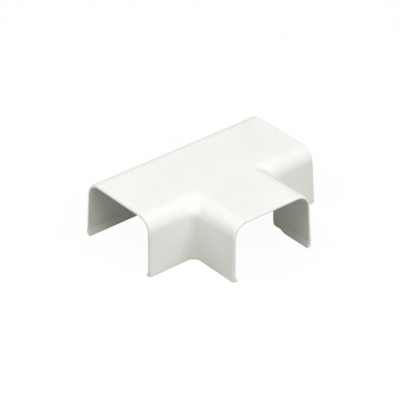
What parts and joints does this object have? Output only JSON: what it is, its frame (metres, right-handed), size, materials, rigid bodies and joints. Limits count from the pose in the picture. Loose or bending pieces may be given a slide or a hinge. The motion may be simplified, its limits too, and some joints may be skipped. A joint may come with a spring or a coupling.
{
  "type": "trunking tee cover",
  "caption": "Moulded tee cover that snaps over surface cable trunking where a branch leaves a straight run, open underneath and at its ends.",
  "frame": {"origin": "centre of the bounding box in plan, in the plane that the lips stand on (the wall surface when it is fitted)", "axes": "+X along the run, +Z from the wall surface towards the roof, and the branch leaves towards -Y"},
  "size_m": [0.09, 0.0675, 0.027],
  "materials": {
    "off_white_plastic": "satin"
  },
  "bodies": {
    "root": {"tee_cover": "off_white_plastic"}
  },
  "joints": []
}
